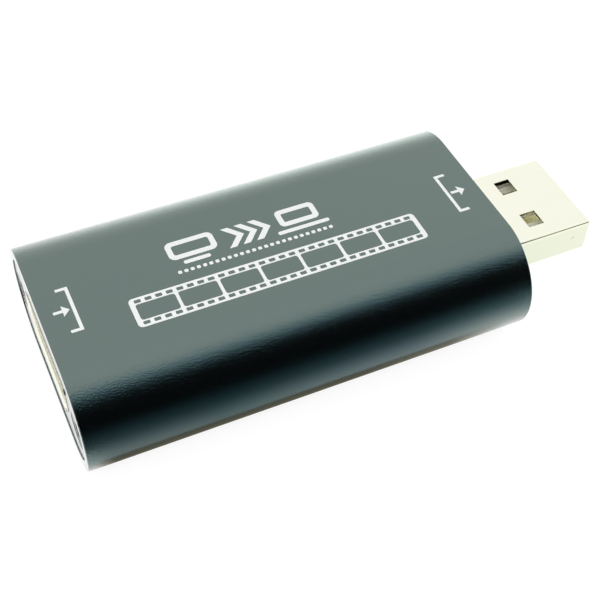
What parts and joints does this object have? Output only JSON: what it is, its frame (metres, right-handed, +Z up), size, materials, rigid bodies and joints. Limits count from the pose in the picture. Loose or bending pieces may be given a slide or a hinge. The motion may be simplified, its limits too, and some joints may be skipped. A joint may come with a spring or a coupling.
{
  "type": "video capture box",
  "caption": "Oval aluminium stick with a flat video input socket in one end and a type A output plug on the other, around a circuit board.",
  "frame": {"origin": "on the resting plane, under the middle of the whole length, on the middle line across", "axes": "+X from the input socket to the output plug, +Y across, +Z up through the printed face"},
  "size_m": [0.0636, 0.028, 0.0134],
  "materials": {
    "tube": "dark anodised, fine satin",
    "plate": "black anodised, satin",
    "screw": "black oxide",
    "socket_shell": "nickel plated",
    "plug_shell": "nickel plated",
    "black_plastic": "moulded",
    "plug_plastic": "moulded",
    "contact": "gold plated",
    "board": "solder mask over glass laminate",
    "package": "moulded epoxy",
    "tin": "tin plated",
    "ceramic": "fired ceramic",
    "resistor": "glazed film",
    "ferrite": "pressed ferrite"
  },
  "bodies": {
    "root": {"body_tube": "tube", "input_end_plate": "plate", "output_end_plate": "plate", "input_plate_screws": "screw", "output_plate_screws": "screw", "input_socket_shell": "socket_shell", "input_socket_housing": "black_plastic", "input_socket_upper_contacts": "contact", "input_socket_lower_contacts": "contact", "output_plug_shell": "plug_shell", "output_plug_carrier": "plug_plastic", "output_plug_contacts": "contact", "circuit_board": "board", "capture_chip": "package", "capture_chip_terminals": "tin", "memory_chip": "package", "memory_chip_leads": "tin", "voltage_regulator": "package", "voltage_regulator_leads": "tin", "surge_arrays": "package", "surge_array_leads": "tin", "crystal_base": "ceramic", "crystal_lid": "tin", "power_inductor": "ferrite", "inductor_terminals": "tin", "capacitor_bodies": "ceramic", "capacitor_end_caps": "tin", "resistor_bodies": "resistor", "resistor_end_caps": "tin"}
  },
  "joints": []
}
